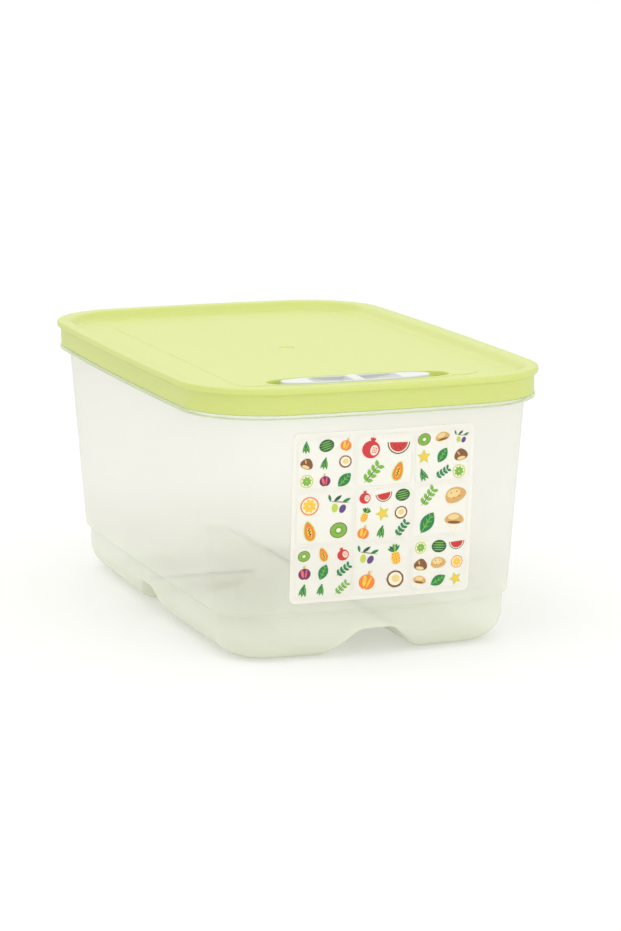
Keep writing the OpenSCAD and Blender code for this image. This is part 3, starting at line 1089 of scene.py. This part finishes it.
def papaya():
    seeds = [(oval(0.08 * (k % 2) - 0.04, -0.42 + 0.13 * k, 0.08, 0.07, 0, 8), "black")
             for k in range(6)]
    return [(oval(0, 0, 0.52, 0.94, 0, 26, 0.28), "lime"),
            (oval(0, 0, 0.44, 0.84, 0, 26, 0.28), "orange"),
            (oval(0, -0.1, 0.2, 0.5), "yellow")] + seeds


def okra():
    parts = []
    for x, y, turn in ((-0.5, -0.8, 74), (-0.1, -0.9, 92), (0.35, -0.8, 112)):
        parts += [(leafShape(x, y, 1.6, 0.2, turn), "leaf"),
                  (leafShape(x, y + 0.1, 1.3, 0.05, turn), "leafPale")]
    return parts


def melonWhole():
    parts = [(oval(0, 0, 0.95, 0.76, 0, 28), "leafDark")]
    for y, size in ((-0.42, 0.7), (-0.14, 0.88), (0.14, 0.88), (0.42, 0.7)):
        parts.append((oval(0, y, size * 0.94, 0.07, 0, 22, 0, 0.06, 9), "leafPale"))
    return parts


def broadLeaf():
    parts = [(leafShape(-0.75, -0.75, 2.1, 0.62, 45), "leaf"),
             (leafShape(-0.85, -0.85, 2.1, 0.05, 45), "leafPale")]
    for k in range(3):
        x = -0.35 + 0.34 * k
        parts += [(leafShape(x, x, 0.46, 0.04, turn), "leafPale") for turn in (88, 2)]
    return parts


def chestnut():
    return [(oval(0, 0, 0.8, 0.68, 0, 26, 0.3), "brown"), (oval(0, -0.42, 0.5, 0.2), "straw"),
            (oval(-0.25, 0.18, 0.1, 0.26, 30), "tan")]


motifs = [potato, mushroom, pineapple, melonWedge, citrusSlice, kiwiSlice, sprig, onion,
          pomegranate, olives, coconut, starSlice, papaya, chestnut, okra, melonWhole, broadLeaf,
          okra, broadLeaf, lambda: onion("purple", "pink"),
          lambda: citrusSlice("lime", "leafPale"), lambda: sprig("leafPale")]


# Place on the bowed, drafted front wall, so far out from it
def onWall(x, z, out):
    inset = b["wallInset"] + (flangeLow - z) * wallSlope - out
    return (x, -endCentreY - math.sqrt((outlineSizes["endBowRadius"] - inset) ** 2 - x * x), z)


# Splits long edges, so that a straight outline still follows the bowed wall
def split(loop, step):
    points = []
    for p, q in zip(loop, np.roll(loop, -1, axis=0)):
        parts = max(1, math.ceil(math.hypot(*(q - p)) / step))
        points += [p + (q - p) * k / parts for k in range(parts)]
    return np.array(points)


# Length of one panel, with so many between the borders of a stretch
def panelSpan(v, stretch, count):
    return (stretch - 2 * v["border"] - (count - 1) * v["panelGap"]) / count


# Every shape on the sheet, from the ground upwards: outline and ink
def filmShapes(v):
    rng = random.Random(v["seed"])
    width = panelSpan(v, 2 * v["halfWidth"], v["panelColumns"])
    height = panelSpan(v, v["high"] - v["low"], v["panelRows"])
    line = v["line"]
    shapes = []
    order = []
    for row in range(v["panelRows"]):
        for column in range(v["panelColumns"]):
            x0 = -v["halfWidth"] + v["border"] + column * (width + v["panelGap"])
            z0 = v["low"] + v["border"] + row * (height + v["panelGap"])
            x1, z1 = x0 + width, z0 + height
            shapes.append((roundedRectangle(x0, z0, x1, z1, v["panelCorner"], 4), "line"))
            shapes.append((roundedRectangle(x0 + line, z0 + line, x1 - line, z1 - line,
                                            v["panelCorner"] - line, 4), "ground"))
            kind = (row + column) % 2
            across = v["motifsAcross"][kind]
            for k in range(across * across):
                if not order:
                    order = list(range(len(motifs)))
                    rng.shuffle(order)
                motif = motifs[order.pop()]()
                stirX = rng.uniform(-v["stirAcross"], v["stirAcross"])
                cx = x0 + width * (k % across + 0.5 + stirX) / across
                stirZ = rng.uniform(-v["stirUp"], v["stirUp"])
                cz = z0 + height * (k // across + 0.5 + stirZ) / across
                size = v["motifSizes"][kind] * rng.uniform(v["smallest"], 1.0)
                turn = rng.uniform(-v["tilt"], v["tilt"])
                for points, ink in motif:
                    placed = np.array([turned(px, py, turn) for px, py in points]) * size
                    shapes.append((placed + (cx, cz), ink))
    return shapes


def makeFilm(v):
    step = v["meshStep"]
    rim = split(roundedRectangle(-v["halfWidth"], v["low"], v["halfWidth"], v["high"],
                                 v["cornerRadius"], 6), step)
    shapes = [(split(shape, step), ink) for shape, ink in filmShapes(v)]
    points, edges = [], []
    for loop in [rim] + [shape for shape, _ in shapes]:
        start, n = len(points), len(loop)
        points += [Vector((float(p[0]), float(p[1]))) for p in loop]
        edges += [(start + k, start + (k + 1) % n) for k in range(n)]
    for x in np.arange(-v["halfWidth"] + step / 2, v["halfWidth"] - step / 4, step):
        for z in np.arange(v["low"] + step / 2, v["high"] - step / 4, step):
            points.append(Vector((float(x), float(z))))
    made, _, faces, _, _, _ = delaunay_2d_cdt(points, edges, [], 0, 1e-4)
    boxes = [(s[:, 0].min(), s[:, 0].max(), s[:, 1].min(), s[:, 1].max()) for s, _ in shapes]
    kept, inks = [], []
    for f in faces:
        c = np.mean([(made[i][0], made[i][1]) for i in f], axis=0)
        if not inside(rim, c):
            continue
        ink = "ground"
        for k in range(len(shapes) - 1, -1, -1):
            x0, x1, z0, z1 = boxes[k]
            if x0 <= c[0] <= x1 and z0 <= c[1] <= z1 and inside(shapes[k][0], c):
                ink = shapes[k][1]
                break
        kept.append(tuple(f))
        inks.append(ink)
    count = len(made)
    out = v["gap"] + v["thick"]
    vertices = [onWall(p[0], p[1], out) for p in made] + [onWall(p[0], p[1], v["gap"]) for p in made]
    uses = {}
    for f in kept:
        for k in range(len(f)):
            edge = f[k], f[(k + 1) % len(f)]
            uses.setdefault((min(edge), max(edge)), []).append(edge)
    sides = [(last, first, first + count, last + count)
             for first, last in (used[0] for used in uses.values() if len(used) == 1)]
    backs = [tuple(i + count for i in reversed(f)) for f in kept]
    mesh = bpy.data.meshes.new("pictureFilm")
    mesh.from_pydata([tuple(q * mm for q in p) for p in vertices], [], kept + backs + sides)
    inks += ["ground"] * (len(backs) + len(sides))
    layer = mesh.color_attributes.new("ink", "FLOAT_COLOR", "CORNER")
    values = []
    for polygon, ink in zip(mesh.polygons, inks):
        *tone, alpha = inkColours[ink]
        values += (*srgb(*tone)[:3], alpha) * polygon.loop_total
    layer.data.foreach_set("color", values)
    bm = bmesh.new()
    bm.from_mesh(mesh)
    bmesh.ops.delete(bm, geom=[p for p in bm.verts if not p.link_faces], context="VERTS")
    bmesh.ops.recalc_face_normals(bm, faces=bm.faces)
    bm.to_mesh(mesh)
    bm.free()
    mesh.materials.append(filmMaterial(filmLook))
    piece = bpy.data.objects.new("pictureFilm", mesh)
    scene.collection.objects.link(piece)
    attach(piece, "bin_body")
    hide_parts("picture_film")
    print("pictureFilm", len(mesh.polygons), "faces")
    return piece


def filmMaterial(v):
    n = Nodes("printedFilm")
    _, _, raised = mouldedSkin(n, v)
    ink = n.add("ShaderNodeAttribute", attribute_name="ink")
    base = n.add("ShaderNodeBsdfPrincipled", Roughness=v["roughness"])
    n.link(ink.outputs["Color"], base.inputs["Base Color"])
    n.link(ink.outputs["Alpha"], base.inputs["Alpha"])
    n.link(raised.outputs[0], base.inputs["Normal"])
    out = n.add("ShaderNodeOutputMaterial")
    n.link(base.outputs[0], out.inputs["Surface"])
    return n.material


pictureFilm = makeFilm(filmSizes)


view = {
    "focalPixels": 3137.5,
    "azimuth": -20.2,
    "elevation": 10.74,
    "target": (13.48, 0, 71.26),
    "distance": 1660.5,
    "imageHeight": 931,
    "sensorHeight": 36,
    "near": 0.05,
    "far": 50,
}


def makeCamera(v):
    camera = bpy.data.cameras.new("camera")
    camera.sensor_fit = "VERTICAL"
    camera.sensor_height = v["sensorHeight"]
    camera.lens = v["focalPixels"] * v["sensorHeight"] / v["imageHeight"]
    camera.clip_start = v["near"]
    camera.clip_end = v["far"]
    holder = bpy.data.objects.new("camera", camera)
    scene.collection.objects.link(holder)
    a, e = math.radians(v["azimuth"]), math.radians(v["elevation"])
    back = Vector((math.sin(a) * math.cos(e), -math.cos(a) * math.cos(e), math.sin(e)))
    holder.location = (Vector(v["target"]) + back * v["distance"]) * mm
    holder.rotation_euler = back.to_track_quat("Z", "Y").to_euler()
    scene.camera = holder


makeCamera(view)

scene.view_settings.view_transform = "Standard"

studio = {
    "aim": (0, 0, 0.07),
    "lamps": {
        "keyLight": {"place": (-0.5, -0.3, 1.5), "size": (1.2, 1.2), "power": 3.5},
        "frontLight": {"place": (0.6, -1.6, 0.8), "size": (1.2, 0.9), "power": 4},
        "backLight": {"place": (0.2, 1.4, 1.0), "size": (1.4, 0.8), "power": 2.5},
    },
    "worldStrength": 1.0,
    "floorHalf": 6,
    "floorDrop": 0.0002,
    "floorColour": (0.93, 0.93, 0.92, 1),
    "floorWhite": 0.3,
    "whiteFrom": 0.25,
    "whiteTo": 0.9,
}


def makeLamp(name, lamp, aim):
    data = bpy.data.lights.new(name, "AREA")
    data.shape = "RECTANGLE"
    data.size, data.size_y = lamp["size"]
    data.energy = lamp["power"]
    light = bpy.data.objects.new(name, data)
    scene.collection.objects.link(light)
    place = Vector(lamp["place"])
    light.location = place
    light.rotation_euler = (place - Vector(aim)).to_track_quat("Z", "Y").to_euler()


for lampName, lamp in studio["lamps"].items():
    makeLamp(lampName, lamp, studio["aim"])


def makeWorld(v):
    world = bpy.data.worlds.new("studio")
    scene.world = world
    world.use_nodes = True
    tree = world.node_tree
    tree.nodes.clear()
    out = tree.nodes.new("ShaderNodeOutputWorld")
    soft = tree.nodes.new("ShaderNodeBackground")
    soft.inputs["Strength"].default_value = v["worldStrength"]
    soft.inputs["Color"].default_value = (1, 1, 1, 1)
    paper = tree.nodes.new("ShaderNodeBackground")
    paper.inputs["Color"].default_value = (1, 1, 1, 1)
    rays = tree.nodes.new("ShaderNodeLightPath")
    seen = tree.nodes.new("ShaderNodeMath")
    seen.operation = "MAXIMUM"
    tree.links.new(rays.outputs["Is Camera Ray"], seen.inputs[0])
    tree.links.new(rays.outputs["Is Glossy Ray"], seen.inputs[1])
    mix = tree.nodes.new("ShaderNodeMixShader")
    tree.links.new(seen.outputs[0], mix.inputs[0])
    tree.links.new(soft.outputs[0], mix.inputs[1])
    tree.links.new(paper.outputs[0], mix.inputs[2])
    tree.links.new(mix.outputs[0], out.inputs["Surface"])


makeWorld(studio)


def makeFloor(v):
    mesh = bpy.data.meshes.new("floor")
    size = v["floorHalf"]
    mesh.from_pydata([(-size, -size, 0), (size, -size, 0), (size, size, 0), (-size, size, 0)], [],
                     [(0, 1, 2, 3)])
    floor = bpy.data.objects.new("floor", mesh)
    scene.collection.objects.link(floor)
    n = Nodes("floorPaper")
    matt = n.add("ShaderNodeBsdfDiffuse")
    matt.inputs["Color"].default_value = v["floorColour"]
    glow = n.add("ShaderNodeEmission")
    glow.inputs["Color"].default_value = (1, 1, 1, 1)
    glow.inputs["Strength"].default_value = 1.0
    rays = n.add("ShaderNodeLightPath")
    seen = n.add("ShaderNodeMath", operation="MAXIMUM")
    n.link(rays.outputs["Is Camera Ray"], seen.inputs[0])
    n.link(rays.outputs["Is Glossy Ray"], seen.inputs[1])
    # Far from the bin the paper is plain white; near it, it keeps the shadow
    place = n.add("ShaderNodeTexCoord")
    reach = n.add("ShaderNodeVectorMath", operation="LENGTH")
    n.link(place.outputs["Object"], reach.inputs[0])
    far = n.add("ShaderNodeMapRange", interpolation_type="SMOOTHSTEP")
    n.link(reach.outputs["Value"], far.inputs["Value"])
    far.inputs["From Min"].default_value = v["whiteFrom"]
    far.inputs["From Max"].default_value = v["whiteTo"]
    far.inputs["To Min"].default_value = v["floorWhite"]
    share = n.add("ShaderNodeMath", operation="MULTIPLY")
    n.link(seen.outputs[0], share.inputs[0])
    n.link(far.outputs["Result"], share.inputs[1])
    mix = n.add("ShaderNodeMixShader")
    n.link(share.outputs[0], mix.inputs[0])
    n.link(matt.outputs[0], mix.inputs[1])
    n.link(glow.outputs[0], mix.inputs[2])
    out = n.add("ShaderNodeOutputMaterial")
    n.link(mix.outputs[0], out.inputs["Surface"])
    mesh.materials.append(n.material)
    floor.location.z = -v["floorDrop"]


makeFloor(studio)
print("studio made")
